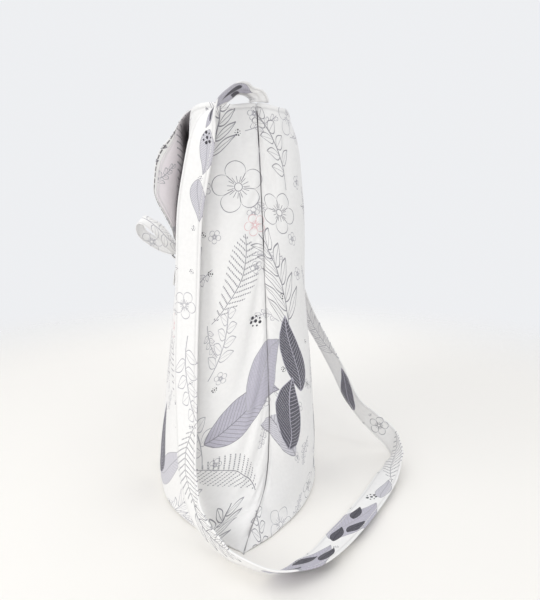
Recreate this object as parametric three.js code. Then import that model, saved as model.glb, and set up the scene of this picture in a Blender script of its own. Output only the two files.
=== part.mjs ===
import * as THREE from "three";
import { mergeVertices } from "three/addons/utils/BufferGeometryUtils.js";

// Standing cloth shoulder bag with a tied front flap. Millimetres, +Z up, length along X,
// the flap and bow face -Y, the floor is z = 0 and the bag stands over the origin.

// Driving dimensions
const bagHeight = 390; // floor to mouth
const bagHalfLength = 152; // middle to side seam at the mouth
const bagHalfDepth = 90; // bottom seam to the front of the base
const clearance = 0.3; // gap between pieces that touch
const clothThickness = 1.2;
const liningThickness = 0.8;
const mouthRoom = 0.5; // extra room between cloth and lining at the mouth
const liningInset = 2.2; // extra room between cloth and lining below the mouth
const seamMargin = 0.13; // share of a panel beside each side seam with evenly spaced rows
const strapWidth = 28;
const strapThickness = 1.8;
const tieWidth = 15;
const tieGather = 0.7; // share of the tie's width left inside the knot
const tieThickness = 0.9;
const flapHalfWidth = 104;
const flapThickness = 1;
const flapCentreDrop = 124;
const flapEdgeDrop = 62;
const flapFlare = 30; // how far the loose side edges stand off the front
const flapStandOff = 3; // how far the middle of the flap hangs off the front
const flapArch = 2.8; // rise of the flap over the open mouth
const knotHalfHeight = 10.5;
const knotHalfDepth = 5;
const knotWidth = 12;
const knotBand = 2.4;
const loopLength = 46;
const tailLength = 30;

// Level outlines of the cloth from the bottom seam to the mouth, as shares of the bag's height, half
// length and half depth. Each runs from a pointed lens at the floor (point 1) to a rounded oblong
// (point about 0.3); seamShift moves the two side seams along the outline in the same sense, so both
// panels keep the same width.
const sections = [
  { height: 0, halfLength: 1.25, front: 0, back: 0, flatness: 2.8, point: 1, seamShift: 0 },
  { height: 0, halfLength: 1.245, front: 0.52, back: 0.5, flatness: 2.8, point: 1, seamShift: 0 },
  { height: 0, halfLength: 1.24, front: 1, back: 1, flatness: 3.1, point: 1, seamShift: 0 },
  { height: 0.03, halfLength: 1.15, front: 1.05, back: 1.03, flatness: 2.9, point: 0.85, seamShift: 0.05 },
  { height: 0.1, halfLength: 1, front: 1.01, back: 1, flatness: 3.1, point: 0.48, seamShift: 0.15 },
  { height: 0.23, halfLength: 0.96, front: 0.91, back: 0.94, flatness: 3.4, point: 0.32, seamShift: 0.18 },
  { height: 0.56, halfLength: 0.955, front: 0.75, back: 0.84, flatness: 3.4, point: 0.29, seamShift: 0.16 },
  { height: 0.84, halfLength: 0.975, front: 0.59, back: 0.78, flatness: 3.5, point: 0.27, seamShift: 0.13 },
  { height: 0.94, halfLength: 0.99, front: 0.52, back: 0.71, flatness: 3.8, point: 0.23, seamShift: 0.115 },
  { height: 1, halfLength: 1, front: 0.49, back: 0.58, flatness: 4, point: 0.2, seamShift: 0.105 },
].map((shares) => ({
  ...shares,
  height: shares.height * bagHeight,
  halfLength: shares.halfLength * bagHalfLength,
  front: shares.front * bagHalfDepth,
  back: shares.back * bagHalfDepth,
  seamShift: shares.seamShift * bagHalfLength,
}));
const mouth = sections[sections.length - 1];

// Closed level outline, starting at the near end and running round by the front.
class BagOutline extends THREE.Curve {
  constructor(section) {
    super();
    this.section = section;
    this.arcLengthDivisions = 400;
  }

  getPoint(turn, target = new THREE.Vector3()) {
    const { halfLength, front, back, flatness, point, height } = this.section;
    const along = Math.cos(2 * Math.PI * turn);
    const fullness = Math.pow(Math.max(0, 1 - Math.pow(Math.abs(along), flatness)), point);
    const depth = turn < 0.5 ? -front : back;
    return target.set(halfLength * along, depth * fullness, height);
  }
}

// The lining follows the same outlines inside the cloth and leaves out the pointed bottom corners.
function liningSection(section) {
  const room = clothThickness + clearance + (section === mouth ? mouthRoom : liningInset);
  return {
    ...section,
    height: section === mouth ? section.height : section.height + room,
    halfLength: Math.min(section.halfLength, mouth.halfLength) - room,
    front: Math.max(0, section.front - room),
    back: Math.max(0, section.back - room),
    point: Math.min(section.point, 0.7),
  };
}

// One panel as a loft: for a place across the panel, the way from the bottom seam to the mouth.
// Rows keep to the same outlines over most of the panel, so the bottom edge stays one line, and
// are spaced evenly up the side seams, where those outlines run together in a point.
function panelColumns(outlines, side) {
  const curveAt = (across) => {
    const points = outlines.map((outline) => {
      const shift = outline.section.seamShift / outline.getLength();
      const start = side === "front" ? 0 : 0.5;
      const turn = start + 0.5 * across - shift;
      return outline.getPointAt(turn - Math.floor(turn));
    });
    return new THREE.CatmullRomCurve3(points, false, "centripetal");
  };
  const middle = curveAt(0.5);
  return (across) => {
    const curve = curveAt(across);
    const inPanel = THREE.MathUtils.smoothstep(Math.min(across, 1 - across), 0, seamMargin);
    return (up, target) => {
      const even = curve.getUtoTmapping(up);
      const level = middle.getUtoTmapping(up);
      return curve.getPoint(THREE.MathUtils.lerp(even, level, inPanel), target);
    };
  };
}

// Lays a flat grid of cloth over the places given by columnAt(across)(up).
function drapeSheet(columns, rows, columnAt, floorHeight) {
  const sheet = new THREE.PlaneGeometry(1, 1, columns, rows);
  const ways = [];
  for (let column = 0; column <= columns; column += 1) {
    ways.push(columnAt(column / columns));
  }
  const place = new THREE.Vector3();
  for (let row = 0; row <= rows; row += 1) {
    for (let column = 0; column <= columns; column += 1) {
      ways[column](1 - row / rows, place);
      place.z = Math.max(place.z, floorHeight);
      sheet.attributes.position.setXYZ(row * (columns + 1) + column, place.x, place.y, place.z);
    }
  }
  splitOutwards(sheet, columns, rows);
  sheet.computeVertexNormals();
  return sheet;
}

// Splits each cell of a draped grid along the diagonal that stands further from the bag's middle, so
// the bottom edge and the pointed corners stay clean ridges.
function splitOutwards(sheet, columns, rows) {
  const stride = columns + 1;
  const spot = (index) => new THREE.Vector3().fromBufferAttribute(sheet.attributes.position, index);
  const middle = new THREE.Vector3(0, 0, mouth.height * 0.5);
  const outside = (first, second) => spot(first).lerp(spot(second), 0.5).distanceTo(middle);
  const faces = [];
  for (let row = 0; row < rows; row += 1) {
    for (let column = 0; column < columns; column += 1) {
      const a = row * stride + column;
      const b = a + stride;
      const c = b + 1;
      const d = a + 1;
      if (outside(b, d) > outside(a, c)) {
        faces.push(a, b, d, b, c, d);
      } else {
        faces.push(a, b, c, a, c, d);
      }
    }
  }
  sheet.setIndex(faces);
}

// Closed body between two distances measured along the sheet's normals.
function thickenSheet(sheet, columns, rows, outer, inner) {
  const { position, normal } = sheet.attributes;
  const count = position.count;
  const places = [];
  for (const distance of [outer, inner]) {
    for (let index = 0; index < count; index += 1) {
      const place = new THREE.Vector3().fromBufferAttribute(position, index);
      const away = new THREE.Vector3().fromBufferAttribute(normal, index);
      places.push(place.addScaledVector(away, distance));
    }
  }
  const faces = [];
  const flat = Array.from(sheet.index.array);
  for (let index = 0; index < flat.length; index += 3) {
    const [a, b, c] = flat.slice(index, index + 3);
    faces.push(a, b, c, a + count, c + count, b + count);
  }
  const rim = rimOfGrid(columns, rows);
  rim.forEach((a, order) => {
    const b = rim[(order + 1) % rim.length];
    faces.push(a, b, a + count, b, b + count, a + count);
  });
  const solid = new THREE.BufferGeometry();
  solid.setAttribute("position", new THREE.BufferAttribute(new Float32Array(count * 6), 3));
  places.forEach((place, index) => solid.attributes.position.setXYZ(index, ...place.toArray()));
  solid.setIndex(faces);
  return solid;
}

// Grid points round the edge of a sheet, clockwise from the first.
function rimOfGrid(columns, rows) {
  const stride = columns + 1;
  const rim = [];
  for (let column = 0; column < columns; column += 1) {
    rim.push(column);
  }
  for (let row = 0; row < rows; row += 1) {
    rim.push(row * stride + columns);
  }
  for (let column = columns; column > 0; column -= 1) {
    rim.push(rows * stride + column);
  }
  for (let row = rows; row > 0; row -= 1) {
    rim.push(row * stride);
  }
  return rim;
}

// Where the panels meet, gives both the same normals and opens the seam by the clearance.
function openSeams(front, back, columns, rows) {
  const stride = columns + 1;
  const gap = clearance * 0.5;
  const part = (sheet, index, shift) => {
    sheet.attributes.position.setY(index, sheet.attributes.position.getY(index) + shift);
  };
  for (let row = 0; row <= rows; row += 1) {
    for (let column = 0; column <= columns; column += 1) {
      if (row === rows || column === 0 || column === columns) {
        const onFront = row * stride + column;
        const onBack = row * stride + columns - column;
        const shared = new THREE.Vector3().fromBufferAttribute(front.attributes.normal, onFront);
        shared.add(new THREE.Vector3().fromBufferAttribute(back.attributes.normal, onBack)).normalize();
        front.attributes.normal.setXYZ(onFront, shared.x, shared.y, shared.z);
        back.attributes.normal.setXYZ(onBack, shared.x, shared.y, shared.z);
        part(front, onFront, -gap);
        part(back, onBack, gap);
      }
    }
  }
}

// Front and back panel of one layer of the bag, as two closed bodies.
function bagPanels(shape, columns, rows, thickness) {
  const outlines = shape.map((section) => new BagOutline(section));
  const [front, back] = ["front", "back"].map((side) => {
    const columnAt = panelColumns(outlines, side);
    return drapeSheet(columns, rows, (across) => columnAt(1 - across), shape[0].height);
  });
  openSeams(front, back, columns, rows);
  return [front, back].map((sheet) => thickenSheet(sheet, columns, rows, 0, -thickness));
}

// Depth of an outline at a place along the bag, to the front or to the back.
function outlineDepth(section, along, side) {
  const reach = Math.min(1, Math.abs(along) / section.halfLength);
  return section[side] * Math.pow(1 - Math.pow(reach, section.flatness), section.point);
}

// Depth of the front panel at a place along the bag and a height above the base edge.
function frontDepth(along, height) {
  const walls = sections.filter((section) => section.height > 0);
  const profile = walls.map((section) => {
    return new THREE.Vector3(0, outlineDepth(section, along, "front"), section.height);
  });
  const curve = new THREE.CatmullRomCurve3(profile, false, "centripetal");
  let low = 0;
  let high = 1;
  for (let step = 0; step < 20; step += 1) {
    const middle = (low + high) / 2;
    if (curve.getPoint(middle).z < height) {
      low = middle;
    } else {
      high = middle;
    }
  }
  return curve.getPoint(high).y;
}

// The flap runs from the back of the mouth over the front edge and down to a rounded end.
function flapColumn(across) {
  const angle = (across - 0.5) * Math.PI;
  const sideways = Math.sin(angle);
  const rounding = Math.cos(angle);
  const along = sideways * flapHalfWidth;
  const drop = flapEdgeDrop + (flapCentreDrop - flapEdgeDrop) * rounding;
  const flare = flapFlare * Math.pow(Math.abs(sideways), 5.5);
  const seat = mouth.height + clearance;
  const front = outlineDepth(mouth, along, "front");
  const back = outlineDepth(mouth, along, "back");
  const hang = (share, stand) => {
    const height = mouth.height - share * drop;
    return new THREE.Vector3(along, -frontDepth(along, height) - flapStandOff - stand * flare, height);
  };
  const points = [
    new THREE.Vector3(along, back, seat),
    new THREE.Vector3(along, 0.6 * back, seat + 0.6 * flapArch),
    new THREE.Vector3(along, 0, seat + flapArch),
    new THREE.Vector3(along, 2 - front, seat + flapArch),
    new THREE.Vector3(along, -front - 7, mouth.height - 4.5),
    hang(0.3, 0.42),
    hang(0.55, 0.79),
    hang(1, 0.86),
  ];
  const curve = new THREE.CatmullRomCurve3(points, false, "centripetal");
  return (up, target) => curve.getPointAt(up, target);
}

// Flat band swept along a route of places, each with the direction its width points and, where
// the band is gathered, the share of its width that is left.
function ribbon(route, width, thickness, segments) {
  const through = (pick) => {
    const points = route.map((stop) => new THREE.Vector3(...pick(stop)));
    return new THREE.CatmullRomCurve3(points, false, "centripetal");
  };
  const places = through((stop) => stop.at);
  const aim = (share, key) => {
    const spot = share * (route.length - 1);
    const first = Math.min(Math.floor(spot), route.length - 2);
    const blend = THREE.MathUtils.smoothstep(spot - first, 0, 1);
    return key(route[first]).lerp(key(route[first + 1]), blend);
  };
  const band = new THREE.BoxGeometry(width, thickness, 1, 2, 1, segments);
  const corners = band.attributes.position;
  for (let index = 0; index < corners.count; index += 1) {
    const share = Math.min(1, Math.max(0, corners.getZ(index) + 0.5));
    const stop = places.getUtoTmapping(share);
    const along = places.getTangent(stop);
    const across = aim(stop, (point) => new THREE.Vector3(...point.across));
    const gather = aim(stop, (point) => new THREE.Vector2(point.gather ?? 1, 0)).x;
    across.addScaledVector(along, -across.dot(along)).normalize();
    const face = new THREE.Vector3().crossVectors(along, across);
    const place = places.getPoint(stop);
    place.addScaledVector(across, corners.getX(index) * gather);
    place.addScaledVector(face, corners.getY(index));
    corners.setXYZ(index, place.x, place.y, place.z);
  }
  return band;
}

// Shoulder strap: up from the near seam, folded over, down the near front corner, on edge over the
// table behind the bag and up to the far seam, where the top repeats turned half round.
function strapRoute() {
  const seam = mouth.seamShift;
  const stop = (x, y, z, across, gather = 1) => ({
    at: [x * bagHalfLength, y * bagHalfDepth, z * bagHeight],
    across,
    gather,
  });
  const sewn = { at: [0.987 * bagHalfLength, seam + 0.07 * strapWidth, bagHeight + 2 * clearance] };
  const upper = [
    { ...sewn, across: [-0.12, 0.99, 0], gather: 0.65 },
    stop(0.987, 0.198, 1.0105, [0.1, 0.99, 0], 0.58),
    stop(0.999, 0.14, 1.0185, [0.4, 0.92, 0], 0.5),
    stop(1.01, 0.09, 1.022, [0.75, 0.5, 0.1], 0.6),
    stop(1.06, 0.01, 1.017, [0.93, 0.15, 0.22], 0.75),
    stop(1.115, -0.083, 1.0, [0.92, 0.2, 0.29], 0.9),
    stop(1.105, -0.185, 0.98, [0.82, 0.45, 0.36]),
    stop(1.085, -0.283, 0.946, [0.66, 0.68, 0.32]),
    stop(1.065, -0.345, 0.895, [0.58, 0.8, 0.15]),
    stop(1.04, -0.4, 0.84, [0.58, 0.81, 0.05]),
    stop(1, -0.455, 0.775, [0.58, 0.81, 0]),
  ];
  const hanging = [
    stop(0.96, -0.49, 0.68, [0.6, 0.8, 0]),
    stop(0.947, -0.522, 0.56, [0.6, 0.8, 0]),
    stop(0.947, -0.556, 0.4, [0.6, 0.8, 0]),
    stop(0.974, -0.567, 0.27, [0.64, 0.76, 0.11]),
    stop(1.04, -0.555, 0.16, [0.66, 0.59, 0.41]),
    stop(1.13, -0.465, 0.08, [0.5, 0.32, 0.78]),
  ];
  const onTable = [
    [1.255, -0.26, [0.4, 0, 0.9]],
    [1.4, -0.03, [0.62, -0.08, 0.77]],
    [1.48, 0.289, [0.76, 0.12, 0.64]],
    [1.38, 0.66, [0.8, 0.48, 0.36]],
    [1.15, 1.065, [0.7, 0.69, 0.18]],
    [0.926, 1.4, [0.67, 0.72, 0.16]],
    [0.63, 1.8, [0.64, 0.74, 0.2]],
    [0.42, 2.05, [0.48, 0.6, 0.64]],
    [0.263, 2.165, [0.1, 0.25, 0.96]],
  ].map(([x, y, across]) => {
    const lowest = 0.5 * strapWidth * across[2] + strapThickness + 2 * clearance;
    return stop(x, y, lowest / bagHeight, across);
  });
  const rising = [
    stop(0.118, 2.156, 0.05, [0.1, 0.3, 0.95]),
    stop(0.02, 1.956, 0.09, [0.5, 0.45, 0.73]),
    stop(-0.059, 1.711, 0.15, [0.8, 0.35, 0.47]),
    stop(-0.23, 1.533, 0.24, [0.75, 0.35, 0.5]),
    stop(-0.408, 1.356, 0.325, [0.6, 0.25, 0.75]),
    stop(-0.579, 1.178, 0.41, [0.55, 0.3, 0.78]),
    stop(-0.763, 0.978, 0.54, [0.6, 0.5, 0.6]),
    stop(-0.895, 0.756, 0.68, [0.62, 0.7, 0.3]),
  ];
  const farEnd = upper.map(({ at, across, gather }) => ({
    at: [-at[0], -at[1], at[2]],
    across: [across[0], across[1], -across[2]],
    gather,
  }));
  return [...upper, ...hanging, ...onTable, ...rising, ...farEnd.reverse()];
}

// The bow: a knot against the flap end, two loops held in it and two tails that lie behind it.
const knotHeight = mouth.height - flapCentreDrop - knotHalfHeight * 0.7;
const tieLayer = tieThickness + clearance;
const knotY = -frontDepth(0, knotHeight) - 2 * tieLayer - clearance - knotHalfDepth;

function bowKnot() {
  const meanRadius = knotHalfHeight - knotBand * 0.5;
  const knot = new THREE.TorusGeometry(meanRadius, knotBand * 0.5, 8, 22);
  knot.scale(1, 1, knotWidth / knotBand);
  knot.rotateY(Math.PI / 2);
  knot.scale(1, knotHalfDepth / knotHalfHeight, 1);
  knot.translate(0, knotY, knotHeight);
  return knot;
}

function bowLoop(sense, rise, forward) {
  const holeHeight = knotHalfHeight - knotBand;
  const holeDepth = holeHeight * (knotHalfDepth / knotHalfHeight);
  const tightness = Math.sqrt(1 - Math.pow((tieGather * tieWidth * 0.5) / holeHeight, 2));
  const layer = holeDepth * tightness - 2 * clearance - tieThickness * 0.5;
  const held = (sideways, stand) => ({
    at: [sense * sideways * knotWidth, knotY + stand, knotHeight],
    across: [0, 0.05, 1],
    gather: tieGather,
  });
  const reach = (share, sideways, spread, twist, gather = 1) => ({
    at: [
      sense * (sideways + 0.7 * spread) * loopLength,
      knotY + (0.7 * rise * spread - forward * share) * loopLength,
      knotHeight + (0.7 * forward * spread + rise * share) * loopLength,
    ],
    across: [-sense * twist, rise * (1 - 0.3 * twist), forward * (1 - 0.3 * twist)],
    gather,
  });
  const route = [
    held(0.1, -layer),
    held(0.3, -layer),
    held(0.6, -layer),
    reach(0.22, 0.24, -0.08, 0.3, 0.85),
    reach(0.55, 0.3, -0.1, 0.65),
    reach(0.87, 0.32, -0.04, 0.75),
    reach(1.03, 0.32, 0.2, 0.75),
    reach(1, 0.32, 0.42, 0.75),
    reach(0.62, 0.31, 0.4, 0.65),
    reach(0.22, 0.28, 0.14, 0.3, 0.85),
    held(0.6, layer),
    held(0.3, layer),
    held(0.1, layer),
  ];
  return ribbon(route, tieWidth, tieThickness, 36);
}

function bowTail(sense, layer, topHeight, sideways, forward) {
  const behind = (height) => -frontDepth(0, height) - clearance - tieThickness * 0.5 - layer * tieLayer;
  const low = knotHeight - knotHalfHeight;
  const end = low - tailLength;
  const middle = low - tailLength * 0.5;
  const route = [
    { at: [0, behind(topHeight), topHeight], across: [1, 0, 0] },
    { at: [0, behind(knotHeight), knotHeight], across: [1, 0, 0], gather: 0.8 },
    { at: [sense * 1.5, behind(low), low], across: [1, 0, 0.1 * sense], gather: 0.8 },
    { at: [sense * sideways * 0.5, behind(middle) - forward, middle], across: [1, 0, 0.2 * sense] },
    { at: [sense * sideways, behind(end) - forward, end], across: [1, 0, 0.25 * sense] },
  ];
  return ribbon(route, tieWidth, tieThickness, 14);
}

const printedCloth = new THREE.MeshStandardMaterial({ color: "#e9e8e6", roughness: 0.9 });
const liningCloth = new THREE.MeshStandardMaterial({ color: "#d8d3d6", roughness: 0.92 });
const strapCloth = new THREE.MeshStandardMaterial({ color: "#eceae8", roughness: 0.9 });

const bag = new THREE.Group();

function addPiece(name, geometry, material) {
  geometry.deleteAttribute("uv");
  geometry.deleteAttribute("normal");
  const welded = mergeVertices(geometry, 1e-3);
  welded.computeVertexNormals();
  const piece = new THREE.Mesh(welded, material);
  piece.name = name;
  bag.add(piece);
}

const [frontPanel, backPanel] = bagPanels(sections, 26, 30, clothThickness);
const [liningFront, liningBack] = bagPanels(sections.map(liningSection), 16, 18, liningThickness);
addPiece("front_panel", frontPanel, printedCloth);
addPiece("back_panel", backPanel, printedCloth);
addPiece("lining_front", liningFront, liningCloth);
addPiece("lining_back", liningBack, liningCloth);

const flapColumns = 14;
const flapRows = 28;
const flapSheet = drapeSheet(flapColumns, flapRows, (across) => flapColumn(1 - across), 0);
const flapBottom = liningThickness + clearance;
const flapLining = thickenSheet(flapSheet, flapColumns, flapRows, liningThickness, 0);
const flap = thickenSheet(flapSheet, flapColumns, flapRows, flapBottom + flapThickness, flapBottom);
addPiece("flap", flap, printedCloth);
addPiece("flap_lining", flapLining, liningCloth);

addPiece("shoulder_strap", ribbon(strapRoute(), strapWidth, strapThickness, 110), strapCloth);
addPiece("bow_knot", bowKnot(), strapCloth);
addPiece("bow_loop_near", bowLoop(1, 0.53, 0.85), strapCloth);
addPiece("bow_loop_far", bowLoop(-1, 0.45, 0.88), strapCloth);
addPiece("flap_tie", bowTail(1, 1, mouth.height - flapCentreDrop + 4, 9, 3), strapCloth);
addPiece("body_tie", bowTail(-1, 0, knotHeight + 6, 12, 0.5), strapCloth);

export default bag;
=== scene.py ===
import math
import bmesh
import bpy
import numpy as np
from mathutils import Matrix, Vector


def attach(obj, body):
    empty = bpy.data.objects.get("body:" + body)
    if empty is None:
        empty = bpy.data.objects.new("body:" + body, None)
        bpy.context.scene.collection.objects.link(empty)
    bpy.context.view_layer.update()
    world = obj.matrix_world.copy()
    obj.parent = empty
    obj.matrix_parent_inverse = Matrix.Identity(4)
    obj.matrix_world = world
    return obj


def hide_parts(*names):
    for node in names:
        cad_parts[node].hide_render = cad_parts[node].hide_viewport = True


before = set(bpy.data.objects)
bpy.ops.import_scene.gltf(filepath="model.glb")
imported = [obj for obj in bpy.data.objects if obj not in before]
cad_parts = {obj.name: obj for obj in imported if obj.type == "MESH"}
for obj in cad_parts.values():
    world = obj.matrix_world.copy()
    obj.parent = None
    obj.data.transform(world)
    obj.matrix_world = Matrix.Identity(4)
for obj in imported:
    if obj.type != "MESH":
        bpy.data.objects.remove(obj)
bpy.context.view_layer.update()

print("frame loaded")
scene = bpy.context.scene
scene.view_settings.view_transform = "Standard"
mm = 0.001

# camera as in the photo: at the bag's narrow end, a little above it
cameraSetup = {
    "place": (0.5545, -0.013, 0.295),
    "panDegrees": 5.7,
    "pitchDegrees": 10.0,
    "focalPixels": 460.0,
    "sensorWidth": 36.0,
    "imageHeight": 600.0,
}


def makeCamera(setup):
    camera = bpy.data.cameras.new("bagCamera")
    camera.sensor_width = setup["sensorWidth"]
    camera.lens = setup["sensorWidth"] * setup["focalPixels"] / setup["imageHeight"]
    holder = bpy.data.objects.new("bagCamera", camera)
    scene.collection.objects.link(holder)
    pan, pitch = math.radians(setup["panDegrees"]), math.radians(setup["pitchDegrees"])
    aim = Vector((-math.cos(pan) * math.cos(pitch), math.sin(pan) * math.cos(pitch), -math.sin(pitch)))
    holder.location = setup["place"]
    holder.rotation_mode = "QUATERNION"
    holder.rotation_quaternion = aim.to_track_quat("-Z", "Y")
    scene.camera = holder


makeCamera(cameraSetup)
print("camera set")


# level outlines of the bag from the bottom seam to the mouth, as shares of its sizes in millimetres:
# height, half length, front depth, back depth, flatness, point, shift of the side seams
bagForm = {
    "height": 390.0,
    "halfLength": 152.0,
    "halfDepth": 90.0,
    "levels": [
        (0, 1.25, 0, 0, 2.8, 1, 0),
        (0, 1.245, 0.52, 0.5, 2.8, 1, 0),
        (0, 1.24, 1, 1, 3.1, 1, 0),
        (0.03, 1.15, 1.05, 1.03, 2.9, 0.85, 0.05),
        (0.1, 1, 1.01, 1, 3.1, 0.48, 0.15),
        (0.23, 0.96, 0.91, 0.94, 3.4, 0.32, 0.18),
        (0.56, 0.955, 0.75, 0.84, 3.4, 0.29, 0.16),
        (0.84, 0.975, 0.59, 0.78, 3.5, 0.27, 0.13),
        (0.94, 0.99, 0.52, 0.71, 3.8, 0.23, 0.115),
        (1, 1, 0.49, 0.58, 4, 0.2, 0.105),
    ],
    "panelWidth": 0.402,
    "panelHeight": 0.474,
    "clothThickness": 1.2,
    "liningThickness": 0.8,
    "gap": 0.3,  # between neighbouring cloths
    "rimRoom": 0.5,  # between panel and lining at the mouth
    "wallRoom": 2.2,
    "liningPoint": 0.7,
}


def bagLevels(form):
    tall, long, deep = form["height"], form["halfLength"], form["halfDepth"]
    return [(h * tall, half * long, front * deep, back * deep, flat, point, seam * long)
            for h, half, front, back, flat, point, seam in form["levels"]]


levels = bagLevels(bagForm)
mouth = levels[-1]
mouthHeight, mouthHalf, mouthSeam = mouth[0], mouth[1], mouth[6]


# smooth curve through the stops, sampled closely
def curveThrough(stops, perSpan=40):
    p = np.asarray(stops, dtype=float)
    ext = np.vstack([2 * p[0] - p[1], p, 2 * p[-1] - p[-2]])
    out = []
    for k in range(len(p) - 1):
        p0, p1, p2, p3 = ext[k:k + 4]
        dt = [max(np.linalg.norm(b - a), 1e-9) ** 0.5 for a, b in ((p0, p1), (p1, p2), (p2, p3))]
        t1 = ((p1 - p0) / dt[0] - (p2 - p0) / (dt[0] + dt[1]) + (p2 - p1) / dt[1]) * dt[1]
        t2 = ((p2 - p1) / dt[1] - (p3 - p1) / (dt[1] + dt[2]) + (p3 - p2) / dt[2]) * dt[1]
        s = np.linspace(0, 1, perSpan, endpoint=False)[:, None]
        out.append((2 * s**3 - 3 * s**2 + 1) * p1 + (s**3 - 2 * s**2 + s) * t1
                   + (-2 * s**3 + 3 * s**2) * p2 + (s**3 - s**2) * t2)
    out.append(p[-1:])
    return np.vstack(out)


def lengthsAlong(points):
    steps = np.linalg.norm(np.diff(points, axis=0), axis=1)
    return np.concatenate([[0.0], np.cumsum(steps)])


def evenly(points, shares):
    run = lengthsAlong(points)
    at = np.asarray(shares) * run[-1]
    return np.stack([np.interp(at, run, points[:, i]) for i in range(points.shape[1])], axis=1)


outlineSteps = 1600


# closed level outline from the near end round by the front, places by share of its length
def outlineAt(level, turns):
    height, halfLength, front, back, flat, point, seam = level
    turn = np.linspace(0, 1, outlineSteps + 1)
    along = np.cos(2 * np.pi * turn)
    full = np.maximum(0, 1 - np.abs(along) ** flat) ** point
    depth = np.where(turn < 0.5, -front, back)
    ring = np.stack([halfLength * along, depth * full, np.full_like(turn, height)], axis=1)
    shift = seam / lengthsAlong(ring)[-1]
    return evenly(ring, np.mod(turns - shift, 1.0))


# places of one panel, rows spaced evenly up the cloth
def panelPlaces(outlines, side, across, up):
    turns = (0.0 if side == "front" else 0.5) + 0.5 * np.asarray(across)
    stations = np.stack([outlineAt(level, turns) for level in outlines])
    grid = np.zeros((len(up), len(across), 3))
    for column in range(len(across)):
        grid[:, column] = evenly(curveThrough(stations[:, column]), up)
    grid[:, :, 2] = np.maximum(grid[:, :, 2], outlines[0][0])
    return grid


def liningLevels():
    out = []
    for index, (height, halfLength, front, back, flat, point, seam) in enumerate(levels):
        top = index == len(levels) - 1
        room = bagForm["clothThickness"] + bagForm["gap"]
        room += bagForm["rimRoom" if top else "wallRoom"]
        out.append((height if top else height + room, min(halfLength, mouthHalf) - room,
                    max(0, front - room), max(0, back - room), flat,
                    min(point, bagForm["liningPoint"]), seam))
    return out


def levelDepth(level, along, side):
    reach = min(1.0, abs(along) / level[1])
    return level[2 if side == "front" else 3] * (1 - reach ** level[4]) ** level[5]


# depth of the front panel at a place along the bag and a height
def frontDepth(along, height):
    walls = [level for level in levels if level[0] > 0]
    profile = curveThrough([(levelDepth(level, along, "front"), level[0], 0) for level in walls])
    return float(np.interp(height, profile[:, 1], profile[:, 0]))


def pieceFrom(bm, name):
    mesh = bpy.data.meshes.new(name)
    bm.to_mesh(mesh)
    bm.free()
    piece = bpy.data.objects.new(name, mesh)
    scene.collection.objects.link(piece)
    return piece


# flat grid of cloth laid over its places; the first UV map is the cloth in metres,
# the second is the distance from the stitched edge and the run along it
def layCloth(name, grid, flatX, flatY, edgeGap, edgeRun, facing=1):
    rows, columns = grid.shape[0] - 1, grid.shape[1] - 1
    bm = bmesh.new()
    bmesh.ops.create_grid(bm, x_segments=columns, y_segments=rows, size=0.5)
    clothMap = bm.loops.layers.uv.new("cloth")
    stitchMap = bm.loops.layers.uv.new("stitch")
    cells = {}
    for vert in bm.verts:
        cells[vert] = (round((vert.co.y + 0.5) * rows), round((vert.co.x + 0.5) * columns))
    for vert, cell in cells.items():
        vert.co = Vector(grid[cell]) * mm
    for face in bm.faces:
        face.smooth = True
        for loop in face.loops:
            cell = cells[loop.vert]
            loop[clothMap].uv = (flatX[cell], flatY[cell])
            loop[stitchMap].uv = (edgeGap[cell], edgeRun[cell])
    if facing < 0:
        bmesh.ops.reverse_faces(bm, faces=bm.faces)
    return pieceFrom(bm, name)


def soften(piece):
    smooth = piece.modifiers.new("smooth", "SUBSURF")
    smooth.levels = smooth.render_levels = 1
    smooth.boundary_smooth = "PRESERVE_CORNERS"


def thicken(piece, thickness, offset):
    solid = piece.modifiers.new("thickness", "SOLIDIFY")
    solid.thickness = thickness * mm
    solid.offset = offset
    soften(piece)


clothPhysics = {
    "quality": 5,
    "mass": 0.25,
    "tension_stiffness": 30,
    "compression_stiffness": 30,
    "shear_stiffness": 10,
    "vertex_group_mass": "held",
    "pin_stiffness": 1.0,
    "air_damping": 3.0,
}


# short cloth simulation: the cloth is a little larger than its place, so it sags and buckles;
# it may sink only a little towards the lining
def settleCloth(piece, held, outward, settings):
    before = np.array([v.co[:] for v in piece.data.vertices])
    group = piece.vertex_groups.new(name="held")
    for index in np.flatnonzero(held):
        group.add([int(index)], 1.0, "REPLACE")
    cloth = piece.modifiers.new("cloth", "CLOTH")
    for name, value in clothPhysics.items():
        setattr(cloth.settings, name, value)
    cloth.settings.bending_stiffness = settings["bending"]
    cloth.settings.shrink_min = cloth.settings.shrink_max = -settings["spare"]
    cloth.settings.effector_weights.gravity = settings["gravity"]
    cloth.collision_settings.use_collision = False
    cloth.collision_settings.use_self_collision = False
    cloth.point_cache.frame_start = 1
    cloth.point_cache.frame_end = settings["frames"] + 1
    for step in range(1, settings["frames"] + 1):
        scene.frame_set(step)
    shown = piece.evaluated_get(bpy.context.evaluated_depsgraph_get()).to_mesh()
    after = np.array([v.co[:] for v in shown.vertices])
    piece.modifiers.remove(cloth)
    piece.vertex_groups.remove(group)
    scene.frame_set(1)
    move = after - before
    sunk = -np.sum(move * outward, axis=1)
    move += outward * np.maximum(0.0, sunk - settings["deepest"] * mm)[:, None]
    size = np.linalg.norm(move, axis=1, keepdims=True)
    move *= np.minimum(1.0, settings["most"] * mm / np.maximum(size, 1e-9))
    placed = before + move
    placed[:, 2] = np.maximum(placed[:, 2], 0.0)
    for vert, co in zip(piece.data.vertices, placed):
        vert.co = co
    print(piece.name, "settled, largest move mm", round(float(size.max()) / mm, 2))


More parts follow.
